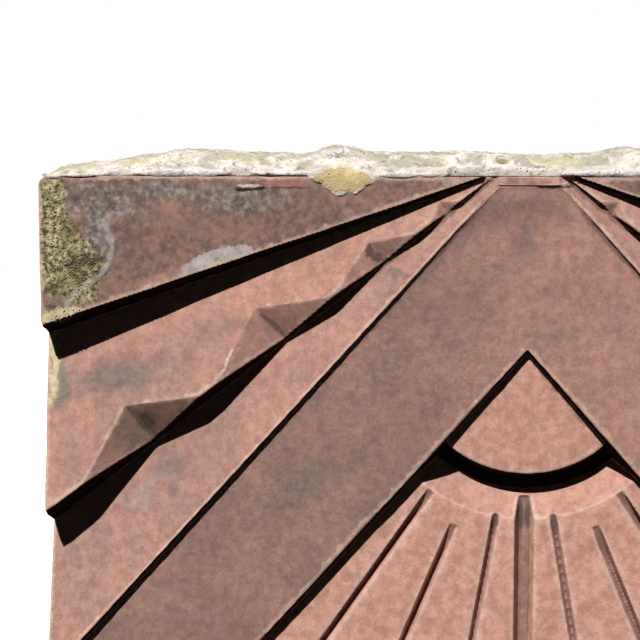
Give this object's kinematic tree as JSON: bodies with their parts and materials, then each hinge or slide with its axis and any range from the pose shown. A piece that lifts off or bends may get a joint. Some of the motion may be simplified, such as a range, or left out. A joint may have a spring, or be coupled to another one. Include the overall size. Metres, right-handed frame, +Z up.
{
  "type": "terracotta facade block",
  "caption": "Fired clay facade block with a stepped sunburst relief on its face, chip-cut notches, a fluted fan, open cells in its back and old mortar on its upper bed.",
  "frame": {"origin": "under the middle of the block, on the plane of its lower bed", "axes": "+Z up, the carved face towards -Y, the block's length along X"},
  "size_m": [0.61, 0.102, 0.3373],
  "materials": {
    "fired_clay": "matte, weathered",
    "lime_mortar": "rough, crumbling"
  },
  "bodies": {
    "root": {"terracotta_block": "fired_clay", "mortar_bed": "lime_mortar"}
  },
  "joints": []
}
